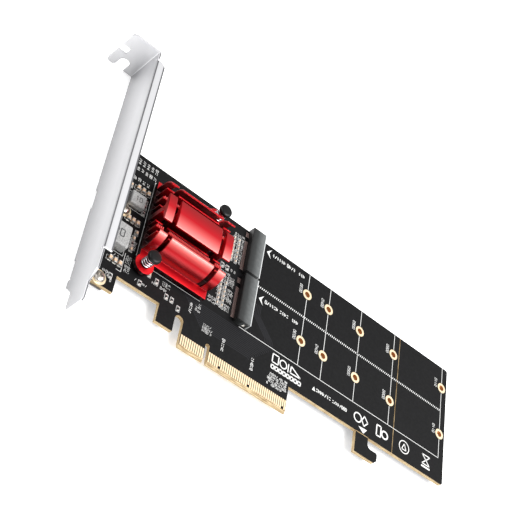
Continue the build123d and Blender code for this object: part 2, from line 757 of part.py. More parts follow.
# Capacitors and resistors: a body between two plated ends, long side up the board
coupling_places = []
for centre_x, centre_y, columns, ranks in coupling_blocks:
    for column in range(columns):
        for rank in range(ranks):
            coupling_places.append((centre_x + coupling_pitch_x * (column - (columns - 1) / 2),
                                    centre_y + coupling_pitch_y * (rank - (ranks - 1) / 2)))
capacitors = ((large_capacitor, large_capacitor_places), (medium_capacitor, medium_capacitor_places),
              (coupling_capacitor, coupling_places))
resistors = ((resistor, resistor_places),)
for name, families in (("capacitor", capacitors), ("resistor", resistors)):
    with BuildPart() as bodies:
        for (long_y, long_x, tall), places in families:
            with BuildSketch(above(0)):
                with Locations(*places):
                    Rectangle(long_x - 2 * cap_skin, long_y * (1 - 2 * cap_share))
            extrude(amount=tall - cap_skin)
    bodies.part.label = name + "_bodies"
    export_step(bodies.part, "parts/" + name + "_bodies.step")
    with BuildPart() as ends:
        for (long_y, long_x, tall), places in families:
            end_length = long_y * cap_share
            with BuildSketch(above(0)):
                with Locations(*[(x, y + side * (long_y - end_length) / 2) for x, y in places
                                 for side in (1, -1)]):
                    Rectangle(long_x, end_length)
            extrude(amount=tall)
    ends.part.label = name + "_ends"
    export_step(ends.part, "parts/" + name + "_ends.step")
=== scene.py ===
import bpy
import bmesh
import json
import math
import random
from mathutils import Matrix, Vector


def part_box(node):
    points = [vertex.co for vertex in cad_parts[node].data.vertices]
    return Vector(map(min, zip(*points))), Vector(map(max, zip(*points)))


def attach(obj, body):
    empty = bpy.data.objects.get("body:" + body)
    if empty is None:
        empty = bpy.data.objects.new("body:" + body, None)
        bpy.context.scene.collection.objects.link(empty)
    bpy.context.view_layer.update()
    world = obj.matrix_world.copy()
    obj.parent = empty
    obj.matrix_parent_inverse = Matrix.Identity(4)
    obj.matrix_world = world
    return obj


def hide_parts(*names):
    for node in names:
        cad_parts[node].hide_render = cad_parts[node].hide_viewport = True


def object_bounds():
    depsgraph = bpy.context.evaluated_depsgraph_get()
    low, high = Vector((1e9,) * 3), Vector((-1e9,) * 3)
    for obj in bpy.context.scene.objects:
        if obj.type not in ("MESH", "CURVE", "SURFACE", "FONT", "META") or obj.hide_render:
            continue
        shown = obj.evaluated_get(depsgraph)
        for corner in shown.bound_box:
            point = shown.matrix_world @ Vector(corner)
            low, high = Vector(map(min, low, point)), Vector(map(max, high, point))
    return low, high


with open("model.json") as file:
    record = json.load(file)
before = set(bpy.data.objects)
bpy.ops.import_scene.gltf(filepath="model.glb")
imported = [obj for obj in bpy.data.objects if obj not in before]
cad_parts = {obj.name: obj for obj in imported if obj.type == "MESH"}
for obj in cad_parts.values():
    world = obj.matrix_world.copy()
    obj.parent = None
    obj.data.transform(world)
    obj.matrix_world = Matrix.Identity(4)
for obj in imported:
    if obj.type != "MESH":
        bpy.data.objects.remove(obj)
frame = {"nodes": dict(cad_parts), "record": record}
CAD_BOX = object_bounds()
BODY = "root"
MM = 0.001
random.seed(11)


# Places on the card in millimetres, taken from the frame

def box(node):
    low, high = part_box(node)
    return low / MM, high / MM


def middle_of(low, high):
    """The middle of a box, as seen from the front."""
    return (low.x + high.x) / 2, (low.y + high.y) / 2


BOARD_LOW, BOARD_HIGH = box("pcb")
FRONT = BOARD_HIGH.z
BACK = BOARD_LOW.z
BRACKET_LOW, BRACKET_HIGH = box("bracket")
SOCKET_LOW, SOCKET_HIGH = box("m2_socket_upper")
SINK_LOW, SINK_HIGH = box("heatsink")
PAD_LOW, PAD_HIGH = box("thermal_pad")
SINK_X = (SINK_LOW.x + SINK_HIGH.x) / 2
SINK_Y = (PAD_LOW.y + PAD_HIGH.y) / 2


# Materials

def srgb(red, green, blue):
    """A colour given as it looks on screen, 0 to 255, turned to linear light."""
    linear = []
    for value in (red, green, blue):
        v = value / 255
        linear.append(v / 12.92 if v <= 0.04045 else ((v + 0.055) / 1.055) ** 2.4)
    return (*linear, 1.0)


class Surface:
    """A node material under construction."""

    def __init__(self, name, colour, roughness, metallic=0.0, specular=0.5):
        self.name = name
        self.material = bpy.data.materials.new(name)
        self.material.use_nodes = True
        self.nodes = self.material.node_tree.nodes
        self.links = self.material.node_tree.links
        self.shader = self.nodes["Principled BSDF"]
        self.shader.inputs["Base Color"].default_value = colour
        self.shader.inputs["Roughness"].default_value = roughness
        self.shader.inputs["Metallic"].default_value = metallic
        self.shader.inputs["Specular IOR Level"].default_value = specular
        self.place = self.nodes.new("ShaderNodeTexCoord").outputs["Object"]

    def coat(self, weight, roughness):
        self.shader.inputs["Coat Weight"].default_value = weight
        self.shader.inputs["Coat Roughness"].default_value = roughness

    def feed(self, socket, value):
        """Gives a socket a plain value, or links it to the output of another node."""
        if isinstance(value, (int, float, tuple)):
            socket.default_value = value
        else:
            self.links.new(value, socket)

    def math(self, operation, first, second=0.0):
        node = self.nodes.new("ShaderNodeMath")
        node.operation = operation
        self.feed(node.inputs[0], first)
        self.feed(node.inputs[1], second)
        return node.outputs[0]

    def part_of(self, vector, axis):
        node = self.nodes.new("ShaderNodeSeparateXYZ")
        self.links.new(vector, node.inputs[0])
        return node.outputs[axis]

    def axis(self, name):
        """One axis of the place on the card, in metres."""
        return self.part_of(self.place, name)

    def facing(self, name):
        """One axis of the direction that the face itself looks in."""
        return self.part_of(self.nodes.new("ShaderNodeTexCoord").outputs["Normal"], name)

    def stretched(self, scale):
        node = self.nodes.new("ShaderNodeMapping")
        node.inputs["Scale"].default_value = scale
        self.links.new(self.place, node.inputs["Vector"])
        return node.outputs[0]

    def noise(self, scale, detail=3.0, vector=None):
        node = self.nodes.new("ShaderNodeTexNoise")
        node.inputs["Scale"].default_value = scale
        node.inputs["Detail"].default_value = detail
        self.links.new(vector or self.place, node.inputs["Vector"])
        return node.outputs["Fac"]

    def ramp(self, source, *stops):
        """Colours along a value from 0 to 1, each stop a position and a colour."""
        node = self.nodes.new("ShaderNodeValToRGB")
        points = node.color_ramp.elements
        while len(points) < len(stops):
            points.new(0.5)
        for point, (position, colour) in zip(points, stops):
            point.position = position
            point.color = colour
        self.links.new(source, node.inputs[0])
        return node.outputs[0]

    def mix(self, factor, first, second, blend="MIX"):
        node = self.nodes.new("ShaderNodeMix")
        node.data_type = "RGBA"
        node.blend_type = blend
        self.feed(node.inputs[0], factor)
        self.feed(node.inputs[6], first)
        self.feed(node.inputs[7], second)
        return node.outputs[2]

    def span(self, source, start, stop, low=0.0, high=1.0):
        """Maps a stretch of one value to a stretch of another, held at both ends."""
        node = self.nodes.new("ShaderNodeMapRange")
        for name, value in (("From Min", start), ("From Max", stop), ("To Min", low), ("To Max", high)):
            node.inputs[name].default_value = value
        self.links.new(source, node.inputs["Value"])
        return node.outputs[0]

    def paint(self, colour):
        self.links.new(colour, self.shader.inputs["Base Color"])

    def rough(self, source, low, high):
        self.links.new(self.span(source, 0.0, 1.0, low, high), self.shader.inputs["Roughness"])

    def metal(self, source, low, high):
        self.links.new(self.span(source, 0.0, 1.0, low, high), self.shader.inputs["Metallic"])

    def bump(self, source, strength, distance):
        node = self.nodes.new("ShaderNodeBump")
        node.inputs["Strength"].default_value = strength
        node.inputs["Distance"].default_value = distance
        self.links.new(source, node.inputs["Height"])
        self.links.new(node.outputs[0], self.shader.inputs["Normal"])


# A face counts as square to an axis from the first value on, and as steep up to the second
SQUARE = 0.7
STEEP = 0.25

# The board: black mask on both faces, and bare layers all round its edge
MASK_SKIN = 0.0006
LAYER_STRETCH = (260.0, 260.0, 9000.0)


def solder_mask_black():
    board = Surface("solder_mask_black", srgb(20, 20, 22), roughness=0.5, specular=0.12)
    height = board.math("ABSOLUTE", board.axis("Z"))
    on_face = board.math("GREATER_THAN", height, (FRONT - MASK_SKIN) * MM)
    weave = board.noise(scale=900.0, detail=4.0)
    mask = board.ramp(weave, (0.3, srgb(12, 12, 13)), (0.7, srgb(20, 20, 21)))
    layers = board.noise(scale=1.0, detail=2.0, vector=board.stretched(LAYER_STRETCH))
    core = board.ramp(layers, (0.35, srgb(140, 114, 78)), (0.65, srgb(214, 194, 154)))
    board.paint(board.mix(on_face, core, mask))
    board.rough(board.noise(scale=140.0, detail=2.0), low=0.46, high=0.6)
    return board


def gold_plate():
    gold = Surface("gold_plate", srgb(255, 227, 188), roughness=0.32, metallic=0.4)
    gold.rough(gold.noise(scale=500.0), low=0.24, high=0.42)
    return gold


# The bracket: painted shade and light as a soft gradient over its plate and tab, a front face painted lighter
# as painted light, and thin painted shade lines at its fold and its rim
FOLD_LEFT = -56.85
FOLD_RIGHT = -56.4
RIM_LEFT = -53.95


def bracket_steel():
    steel = Surface("bracket_steel", srgb(214, 214, 216), roughness=0.4, metallic=0.75)
    steel.rough(steel.noise(scale=260.0, detail=4.0), low=0.36, high=0.48)
    across = steel.span(steel.axis("Z"), BRACKET_LOW.z * MM, BRACKET_HIGH.z * MM)
    # Painted shade and light: the plate runs darker at both ends, and the tab's faces lighter towards one end
    plate = steel.ramp(across, (0.0, srgb(168, 168, 170)), (0.4, srgb(184, 184, 186)),
                       (0.75, srgb(190, 190, 192)), (1.0, srgb(178, 178, 180)))
    tab_painted_light = steel.ramp(across, (0.0, srgb(182, 182, 184)), (1.0, srgb(234, 234, 236)))
    front_face = steel.math("GREATER_THAN", steel.facing("Z"), SQUARE)
    lit_tab_faces = steel.math("GREATER_THAN", steel.math("ABSOLUTE", steel.facing("Y")), SQUARE)
    along = steel.axis("X")
    fold = steel.math("MULTIPLY", steel.math("GREATER_THAN", along, FOLD_LEFT * MM),
                      steel.math("LESS_THAN", along, FOLD_RIGHT * MM))
    rim = steel.math("GREATER_THAN", along, RIM_LEFT * MM)
    # Painted shade lines along the fold and the rim of the front face
    edges = steel.math("MULTIPLY", front_face, steel.math("ADD", fold, rim))
    # The tab's faces take their painted light, and the front face a lighter grey as painted light
    shaded_sheet = steel.mix(lit_tab_faces, plate, tab_painted_light)
    shaded_sheet = steel.mix(front_face, shaded_sheet, srgb(212, 212, 214))
    steel.paint(steel.mix(edges, shaded_sheet, srgb(104, 104, 107)))
    steel.metal(front_face, low=0.75, high=0.35)
    return steel


# The heatsink's zones of painted shade and painted highlight: heights, and half widths from its middle line.
# Its drawn lines run along the extrusion, which is the first of each three scales
GAP_LOW = 4.6
GAP_HIGH = 13.0
FIN_FLOOR = 3.8
FLOOR_HALF = 14.4
BROW_LOW = 10.6
BROW_HIGH = 13.2
BROW_OUT = 10.0
CANOPY_LOW = 14.0
CANOPY_HALF = 6.0
DRAWN_LINES = (40.0, 4200.0, 4200.0)
DRAWN_SHINE = (200.0, 3000.0, 3000.0)
DRAWN_DEPTH = 0.00002


def red_anodised():
    red = Surface("red_anodised", srgb(214, 14, 32), roughness=0.32, metallic=0.75)
    red.coat(weight=0.4, roughness=0.22)
    height = red.axis("Z")
    across = red.axis("Y")

    # Painted shade: walls get darker towards their foot, and the floor between the fins is painted dark
    walls = red.span(red.facing("Z"), STEEP, SQUARE, low=1.0, high=0.0)
    low_down = red.span(height, GAP_LOW * MM, GAP_HIGH * MM, low=1.0, high=0.0)
    off_middle = red.math("ABSOLUTE", red.math("SUBTRACT", across, SINK_Y * MM))
    between = red.math("MULTIPLY", red.math("LESS_THAN", height, FIN_FLOOR * MM),
                       red.math("LESS_THAN", off_middle, FLOOR_HALF * MM))
    shade = red.math("MAXIMUM", red.math("MULTIPLY", walls, low_down), between)
    tone = red.mix(shade, srgb(226, 8, 28), srgb(44, 0, 3))

    # Painted light: a painted pink highlight along the lower blade's crown, and the canopy runs from a
    # painted pink highlight to painted deep red shade
    crown_highlight = red.math("MULTIPLY", red.span(height, BROW_LOW * MM, BROW_HIGH * MM),
                    red.math("LESS_THAN", across, (SINK_Y - BROW_OUT) * MM))
    tone = red.mix(crown_highlight, tone, srgb(250, 128, 122))
    canopy_shading = red.ramp(red.span(across, (SINK_Y - CANOPY_HALF) * MM, (SINK_Y + CANOPY_HALF) * MM),
                     (0.0, srgb(255, 140, 136)), (0.5, srgb(228, 12, 32)), (1.0, srgb(178, 2, 16)))
    canopy = red.math("GREATER_THAN", height, CANOPY_LOW * MM)
    red.paint(red.mix(canopy, tone, canopy_shading))

    drawn = red.noise(scale=1.0, detail=3.0, vector=red.stretched(DRAWN_LINES))
    red.bump(drawn, strength=0.1, distance=DRAWN_DEPTH)
    red.rough(red.noise(scale=1.0, detail=2.0, vector=red.stretched(DRAWN_SHINE)), low=0.3, high=0.4)
    return red


def pin_black():
    black = Surface("pin_black", srgb(10, 10, 11), roughness=0.4, specular=0.25)
    black.coat(weight=0.08, roughness=0.2)
    return black


# The drive sockets: painted shade, darker towards their contacts, and a painted highlight along the edge on
# the other side
SOCKET_HIGHLIGHT = 0.35


def socket_plastic():
    plastic = Surface("socket_plastic", srgb(60, 62, 62), roughness=0.45, specular=0.35)
    along = plastic.axis("X")
    depth = plastic.span(along, SOCKET_LOW.x * MM, SOCKET_HIGH.x * MM)
    shade = plastic.ramp(depth, (0.0, srgb(22, 22, 22)), (0.35, srgb(50, 52, 52)), (0.9, srgb(114, 117, 117)))
    grain = plastic.ramp(plastic.noise(scale=700.0), (0.3, srgb(225, 225, 225)), (0.7, srgb(255, 255, 255)))
    # A painted highlight along the edge away from the contacts
    edge_highlight = plastic.math("GREATER_THAN", along, (SOCKET_HIGH.x - SOCKET_HIGHLIGHT) * MM)
    grained = plastic.mix(1.0, shade, grain, blend="MULTIPLY")
    plastic.paint(plastic.mix(edge_highlight, grained, srgb(206, 208, 208)))
    return plastic


def inductor_grey():
    powder = Surface("inductor_grey", srgb(150, 150, 150), roughness=0.55)
    grains = powder.noise(scale=2600.0, detail=2.0)
    powder.paint(powder.ramp(grains, (0.35, srgb(138, 138, 138)), (0.65, srgb(182, 182, 180))))
    return powder


# Plain finishes: the colour, the roughness, how metallic and how shiny
PLAIN_FINISHES = {
    "screw_steel": ((196, 190, 182), 0.3, 1.0, 0.5),
    # A lighter red: a painted highlight for the teeth of the fins
    "red_highlight": ((255, 104, 104), 0.34, 0.4, 0.5),
    "spring_steel": ((196, 196, 200), 0.16, 1.0, 0.5),
    "tinned_metal": ((214, 212, 208), 0.34, 0.95, 0.5),
    "contact_tail": ((176, 150, 144), 0.5, 0.0, 0.5),
    "chip_black": ((40, 40, 42), 0.5, 0.0, 0.5),
    "pad_grey": ((140, 142, 148), 0.8, 0.0, 0.5),
    "copper": ((190, 120, 62), 0.4, 0.8, 0.5),
    "trace_black": ((33, 33, 36), 0.5, 0.0, 0.15),
    "print_white": ((226, 226, 224), 0.65, 0.0, 0.5),
    "ring_gold": ((252, 232, 196), 0.36, 0.55, 0.5),
    "ceramic_tan": ((228, 194, 160), 0.42, 0.0, 0.5),
    "ceramic_black": ((30, 30, 32), 0.35, 0.0, 0.5),
}
MATERIALS = {}
for name, (colour, roughness, metallic, specular) in PLAIN_FINISHES.items():
    MATERIALS[name] = Surface(name, srgb(*colour), roughness, metallic, specular).material
for finish in (solder_mask_black, gold_plate, bracket_steel, red_anodised, pin_black, socket_plastic,
               inductor_grey):
    surface = finish()
    MATERIALS[surface.name] = surface.material


# Helpers for pieces

SLOTS = {part["node"]: part["material_slot"] for part in frame["record"]["subparts"]}
SMOOTH_ANGLE = math.radians(30)
FLAT_ANGLE = math.radians(1.5)
EDGE_ANGLE = math.radians(35)
FACE_WELD = 0.002
ISLAND_WELD = 0.0005
TURN_SIDES = 48
RING_SIDES = 40


def set_material(thing, material):
    thing.data.materials.clear()
    thing.data.materials.append(MATERIALS[material])


def smooth(thing):
    for face in thing.data.polygons:
        face.use_smooth = True
    thing.data.set_sharp_from_angle(angle=SMOOTH_ANGLE)


def added(name, form, material, smoothed=False):
    """Makes a piece that rides with the card out of a bmesh in millimetres."""
    bmesh.ops.scale(form, vec=(MM, MM, MM), verts=form.verts)
    bmesh.ops.recalc_face_normals(form, faces=form.faces)
    mesh = bpy.data.meshes.new(name)
    form.to_mesh(mesh)
    form.free()
    piece = bpy.data.objects.new(name, mesh)
    bpy.context.collection.objects.link(piece)
    set_material(piece, material)
    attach(piece, BODY)
    if smoothed:
        smooth(piece)
    return piece


def dressed(node, bevel):
    """A copy of a CAD node with its flat faces joined again and its edges broken."""
    form = bmesh.new()
    form.from_mesh(frame["nodes"][node].data)
    bmesh.ops.remove_doubles(form, verts=form.verts, dist=FACE_WELD * MM)
    bmesh.ops.dissolve_limit(form, angle_limit=FLAT_ANGLE, verts=form.verts, edges=form.edges)
    bmesh.ops.scale(form, vec=(1 / MM, 1 / MM, 1 / MM), verts=form.verts)
    piece = added(node + "_dressed", form, SLOTS[node], smoothed=True)
    edges = piece.modifiers.new("broken edges", "BEVEL")
    edges.width = bevel * MM
    edges.segments = 2
    edges.limit_method = "ANGLE"
    edges.angle_limit = EDGE_ANGLE
    edges.harden_normals = True
    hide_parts(node)


def islands(node):
    """The boxes, in millimetres, of the separate solids of a CAD node."""
    form = bmesh.new()
    form.from_mesh(frame["nodes"][node].data)
    bmesh.ops.remove_doubles(form, verts=form.verts, dist=ISLAND_WELD * MM)
    seen = set()
    boxes = []
    for start in form.verts:
        if start in seen:
            continue
        group = []
        waiting = [start]
        seen.add(start)
        while waiting:
            vert = waiting.pop()
            group.append(vert.co / MM)
            for edge in vert.link_edges:
                other = edge.other_vert(vert)
                if other not in seen:
                    seen.add(other)
                    waiting.append(other)
        low = Vector([min(point[axis] for point in group) for axis in range(3)])
        high = Vector([max(point[axis] for point in group) for axis in range(3)])
        boxes.append((low, high))
    form.free()
    return boxes


def circle(form, centre, radius, height, sides):
    """The corners of a level circle, added to a bmesh."""
    corners = []
    for step in range(sides):
        angle = 2 * math.pi * step / sides
        corners.append(form.verts.new((centre[0] + radius * math.cos(angle),
                                       centre[1] + radius * math.sin(angle), height)))
    return corners


def band(form, first, second):
    """The faces between two closed rows of corners."""
    for here in range(len(first)):
        after = (here + 1) % len(first)
        form.faces.new((first[here], second[here], second[after], first[after]))


def skinned(form, rings):
    """Makes a row of rings one solid, with bands between them and a face at each end."""
    for first, second in zip(rings, rings[1:]):
        band(form, first, second)
    form.faces.new(rings[0])
    form.faces.new(reversed(rings[-1]))


def turned(form, centre, profile):
    """Adds a closed turned form to a bmesh, from the radii and heights of its profile, top first."""
    skinned(form, [circle(form, centre, radius, height, TURN_SIDES) for radius, height in profile])


def prism(form, outline, low, high):
    """Adds an upright solid with the outline given to a bmesh."""
    lower = [form.verts.new((x, y, low)) for x, y in outline]
    upper = [form.verts.new((x, y, high)) for x, y in outline]
    form.faces.new(upper)
    form.faces.new(reversed(lower))
    band(form, lower, upper)


def directions(turn):
    """The directions to the right and up of something turned by an angle in degrees."""
    angle = math.radians(turn)
    return Vector((math.cos(angle), math.sin(angle))), Vector((-math.sin(angle), math.cos(angle)))


# Single strokes on a grid one unit high: the digits that are needed, and small plain marks
DIGITS = {
    "0": [[(0, 0), (0.55, 0), (0.55, 1), (0, 1), (0, 0)]],
    "1": [[(0.1, 0.8), (0.3, 1), (0.3, 0)]],
    "2": [[(0, 1), (0.55, 1), (0.55, 0.5), (0, 0.5), (0, 0), (0.55, 0)]],
    "3": [[(0, 1), (0.55, 1), (0.55, 0), (0, 0)], [(0.1, 0.5), (0.55, 0.5)]],
    "4": [[(0, 1), (0, 0.45), (0.55, 0.45)], [(0.45, 1), (0.45, 0)]],
    "6": [[(0.5, 1), (0, 1), (0, 0), (0.55, 0), (0.55, 0.5), (0, 0.5)]],
    "8": [[(0, 0), (0.55, 0), (0.55, 1), (0, 1), (0, 0)], [(0, 0.5), (0.55, 0.5)]],
}
MARKS = (
    [[(0, 0), (0, 1)], [(0.35, 0.2), (0.35, 0.8)]],
    [[(0, 0), (0.5, 0), (0.5, 1), (0, 1), (0, 0)]],
    [[(0, 0.15), (0.5, 0.15)], [(0, 0.85), (0.5, 0.85)]],
    [[(0, 0), (0.5, 1)]],
    [[(0.25, 0), (0.25, 1)], [(0, 0.5), (0.5, 0.5)]],
)
DIGIT_STEP = 0.86
MARK_STEP = 0.78
MARK_REACH = 0.6
ROW_STEP = 1.3


class Relief:
    """Many thin solid plates of one finish, such as the print on one face of the board."""

    def __init__(self, name, material, slot, low, high):
        self.name = name
        self.material = material
        self.slot = slot
        self.low = low
        self.high = high
        self.form = bmesh.new()

    def plate(self, outline):
        prism(self.form, outline, self.low, self.high)

    def bar(self, start, end, width):
        first = Vector(start)
        last = Vector(end)
        along = last - first
        across = Vector((-along.y, along.x)).normalized() * width / 2
        self.plate([first - across, last - across, last + across, first + across])

    def path(self, points, width, closed=False):
        ends = points[1:] + points[:1] if closed else points[1:]
        for start, end in zip(points, ends):
            self.bar(start, end, width)

    def rectangle(self, low, high, width):
        corners = [(low[0], low[1]), (high[0], low[1]), (high[0], high[1]), (low[0], high[1])]
        self.path(corners, width, closed=True)

    def ring(self, centre, inner, outer):
        section = ((inner, self.low), (outer, self.low), (outer, self.high), (inner, self.high))
        circles = [circle(self.form, centre, radius, height, RING_SIDES) for radius, height in section]
        for first, second in zip(circles, circles[1:] + circles[:1]):
            band(self.form, first, second)

    def strokes(self, lines, origin, size, turn, width):
        """Draws lines given on a grid, of any size, turned by an angle in degrees."""
        right, up = directions(turn)
        for line in lines:
            self.path([Vector(origin) + right * size * x + up * size * y for x, y in line], width)

    def number(self, digits, origin, size, turn, width):
        """Plain digits in single strokes, each as high as the size given."""
        step = directions(turn)[0] * size * DIGIT_STEP
        for place, digit in enumerate(digits):
            self.strokes(DIGITS[digit], Vector(origin) + step * place, size, turn, width)

    def scribble(self, origin, length, size, turn=0.0, width=0.16, fullness=0.84):
        """A row of small plain strokes that stands for a line of fine print."""
        along = directions(turn)[0]
        place = 0.0
        while place + size * MARK_REACH < length:
            if random.random() < fullness:
                kind = random.choice(MARKS)
                self.strokes(kind, Vector(origin) + along * place, size, turn, width)
            place += size * MARK_STEP

    def field(self, low, high, size, turn, width):
        """Fills an area with rows of small plain strokes, level or upright."""
        if turn:
            place = low[0] + size
            while place <= high[0]:
                self.scribble((place, low[1]), high[1] - low[1], size, turn, width)
                place += size * ROW_STEP
            return
        place = low[1]
        while place + size <= high[1]:
            self.scribble((low[0], place), high[0] - low[0], size, turn, width)
            place += size * ROW_STEP

    def done(self):
        return added(self.name, self.form, self.material)


# The card's own pieces: CAD nodes with broken edges, by the width of the bevel, and others left as they are

BEVELS = {
    "bracket": 0.2, "heatsink": 0.14, "m2_socket_upper": 0.12, "m2_socket_lower": 0.12,
    "inductor_large": 0.2, "inductor_small": 0.2, "capacitor_bodies": 0.05, "resistor_bodies": 0.03,
    "capacitor_ends": 0.06, "resistor_ends": 0.05, "switch_chip": 0.1, "regulator_chip": 0.05,
    "memory_chip": 0.08,
}
MODELLED = ("bracket_screws", "push_pin_lower", "push_pin_upper", "pin_spring_lower", "pin_spring_upper",
            "screw_hole_rings")
for node, thing in frame["nodes"].items():
    set_material(thing, SLOTS[node])
    if node not in BEVELS and node not in MODELLED:
        smooth(thing)
for node, width in BEVELS.items():
    dressed(node, width)
for place in ("upper", "lower"):
    set_material(frame["nodes"]["m2_contacts_" + place], "contact_tail")


# Screws of the bracket, with domed heads and a cross recess

SCREW_DOME = ((1.0, 0.0), (1.5, 0.12), (1.9, 0.35), (2.16, 0.66), (2.28, 1.0))
DOME_RADIUS = 2.3
HEAD_RIM = 0.3
SHANK_RADIUS = 1.25
SHANK_TIP = 0.3
RECESS_ARM = 1.05
RECESS_WIDTH = 0.28
RECESS_DEPTH = 0.75
RECESS_CLEAR = 0.2


def screw_profile(low, high):
    """The radii and heights of a screw, from the top of its head down."""
    head_radius = (high.x - low.x) / 2
    profile = [(radius * head_radius / DOME_RADIUS, high.z - drop) for radius, drop in SCREW_DOME]
    profile += [(head_radius, FRONT + HEAD_RIM), (head_radius, FRONT), (SHANK_RADIUS, FRONT),
                (SHANK_RADIUS, low.z + SHANK_TIP), (SHANK_RADIUS - SHANK_TIP, low.z)]
    return profile


def cross_outline(centre, arm, half_width):
    """The twelve corners of a cross, from the right and round to the left."""
    corners = []
    for quarter in range(4):
        turn = Matrix.Rotation(math.radians(90 * quarter), 2)
        for x, y in ((arm, -half_width), (arm, half_width), (half_width, half_width)):
            corners.append(Vector(centre) + turn @ Vector((x, y)))
    return corners


def cut_out(piece, cutter):
    """Takes the form of the cutter out of a piece, and removes the cutter."""
    recess = piece.modifiers.new("recess", "BOOLEAN")
    recess.operation = "DIFFERENCE"
    recess.object = cutter
    recess.solver = "EXACT"
    bpy.context.view_layer.update()
    cut = piece.evaluated_get(bpy.context.evaluated_depsgraph_get())
    cut_mesh = bpy.data.meshes.new_from_object(cut)
    piece.modifiers.clear()
    piece.data = cut_mesh
    smooth(piece)
    bpy.data.objects.remove(cutter)


screw_boxes = islands("bracket_screws")
screw_centres = [middle_of(low, high) for low, high in screw_boxes]
screws = bmesh.new()
recesses = bmesh.new()
for centre, (low, high) in zip(screw_centres, screw_boxes):
    turned(screws, centre, screw_profile(low, high))
    prism(recesses, cross_outline(centre, RECESS_ARM, RECESS_WIDTH), high.z - RECESS_DEPTH,
          high.z + RECESS_CLEAR)
screw_heads = added("bracket_screw_heads", screws, "screw_steel", smoothed=True)
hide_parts("bracket_screws")
cut_out(screw_heads, added("recess_cutter", recesses, "screw_steel"))


# Push pins of the heatsink, each with its spring

PIN_DOME = ((1.7, 0.0), (2.1, 0.06), (2.4, 0.2), (2.6, 0.4), (2.7, 0.65), (2.75, 0.95))
PIN_RADIUS = 2.75
PIN_HEAD = 1.6
PIN_CHAMFER = 0.1
PIN_STEM = 1.45
PIN_BARB = 1.95
PIN_TIP = 0.9
WIRE = 0.24
WIRE_SIDES = 10
COIL_TURNS = 4.0
COIL_STEPS = 40


def pin_profile(low, high):
    """The radii and heights of a push pin, from the top of its head down to its barb."""
    head_low = high.z - PIN_HEAD
    profile = [(radius, high.z - drop) for radius, drop in PIN_DOME]
    profile += [(PIN_RADIUS, head_low + PIN_CHAMFER), (PIN_RADIUS - PIN_CHAMFER, head_low),
                (PIN_STEM, head_low), (PIN_STEM, BACK), (PIN_BARB, BACK), (PIN_TIP, low.z)]
    return profile


def wound(form, centre, radius, low, high):
    """Adds a coil of round wire to a bmesh."""
    rings = []
    steps = round(COIL_TURNS * COIL_STEPS)
    for step in range(steps + 1):
        angle = 2 * math.pi * step / COIL_STEPS
        outward = Vector((math.cos(angle), math.sin(angle), 0))
        core = Vector((*centre, low + (high - low) * step / steps)) + outward * radius
        ring = []
        for side in range(WIRE_SIDES):
            swing = 2 * math.pi * side / WIRE_SIDES
            lift = Vector((0, 0, math.sin(swing)))
            ring.append(form.verts.new(core + WIRE * (outward * math.cos(swing) + lift)))
        rings.append(ring)
    skinned(form, rings)


for place in ("lower", "upper"):
    low, high = box("push_pin_" + place)
    centre = middle_of(low, high)
    form = bmesh.new()
    turned(form, centre, pin_profile(low, high))
    pin = added("push_pin_" + place + "_turned", form, "pin_black", smoothed=True)
    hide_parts("push_pin_" + place)

    low, high = box("pin_spring_" + place)
    form = bmesh.new()
    wound(form, centre, (high.x - low.x) / 2 - WIRE, low.z + WIRE, high.z - WIRE)
    coil = added("pin_spring_" + place + "_coil", form, "spring_steel", smoothed=True)
    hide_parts("pin_spring_" + place)


# Plated holes: a ring on each face and a thin barrel between them, and the pads of the bracket's screws

RING_OUTER = 2.3
RING_HEIGHT = 0.05
HOLE_RADIUS = 1.3
BARREL_SKIN = 0.07
BARREL_PROUD = 0.04
SCREW_PAD_INNER = 1.4
SCREW_PAD_OUTER = 3.1
SCREW_PAD_HEIGHT = 0.04


def ringed(name, material, low, high, centres, inner, outer):
    """One piece with a ring round each of the centres."""
    rings = Relief(name, material, "gold_plate", low, high)
    for centre in centres:
        rings.ring(centre, inner, outer)
    return rings.done()


holes = sorted(middle_of(low, high) for low, high in islands("screw_hole_rings"))
front_rings = ringed("hole_rings", "ring_gold", FRONT, FRONT + RING_HEIGHT, holes, HOLE_RADIUS, RING_OUTER)
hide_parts("screw_hole_rings")
ringed("hole_rings_back", "ring_gold", BACK - RING_HEIGHT, BACK, holes, HOLE_RADIUS, RING_OUTER)
ringed("hole_barrels", "copper", BACK - BARREL_PROUD, FRONT + BARREL_PROUD, holes,
       HOLE_RADIUS - BARREL_SKIN, HOLE_RADIUS)
ringed("bracket_screw_pads", "ring_gold", FRONT, FRONT + SCREW_PAD_HEIGHT, screw_centres,
       SCREW_PAD_INNER, SCREW_PAD_OUTER)


# Teeth on the two middle fins of the heatsink, in a lighter red that is a painted highlight

FIN_OUT = 6.806
FIN_WIDE = 1.1
FIN_TOP = FRONT + 8.8
FIN_SPANS = ((-9.6, 9.6), (-15.1, -12.0), (12.0, 15.1))
TOOTH_PITCH = 0.62
TOOTH_WIDTH = 0.32
TOOTH_ROOT = 0.05
TOOTH_HEIGHT = 0.45


def raise_teeth():
    teeth = Relief("fin_teeth", "red_highlight", "red_anodised", FIN_TOP - TOOTH_ROOT, FIN_TOP + TOOTH_HEIGHT)
    for side in (1, -1):
        y = SINK_Y + side * FIN_OUT
        for first, last in FIN_SPANS:
            count = int((last - first) / TOOTH_PITCH)
            for tooth in range(count):
                x = SINK_X + first + (tooth + 0.5) * (last - first) / count
                teeth.bar((x, y - FIN_WIDE / 2), (x, y + FIN_WIDE / 2), TOOTH_WIDTH)
    teeth.done()


raise_teeth()


# Solder pads under the small parts

SOLDER_HEIGHT = 0.05
SOLDER_SIDE = 0.03
SOLDER_TIP = 0.14


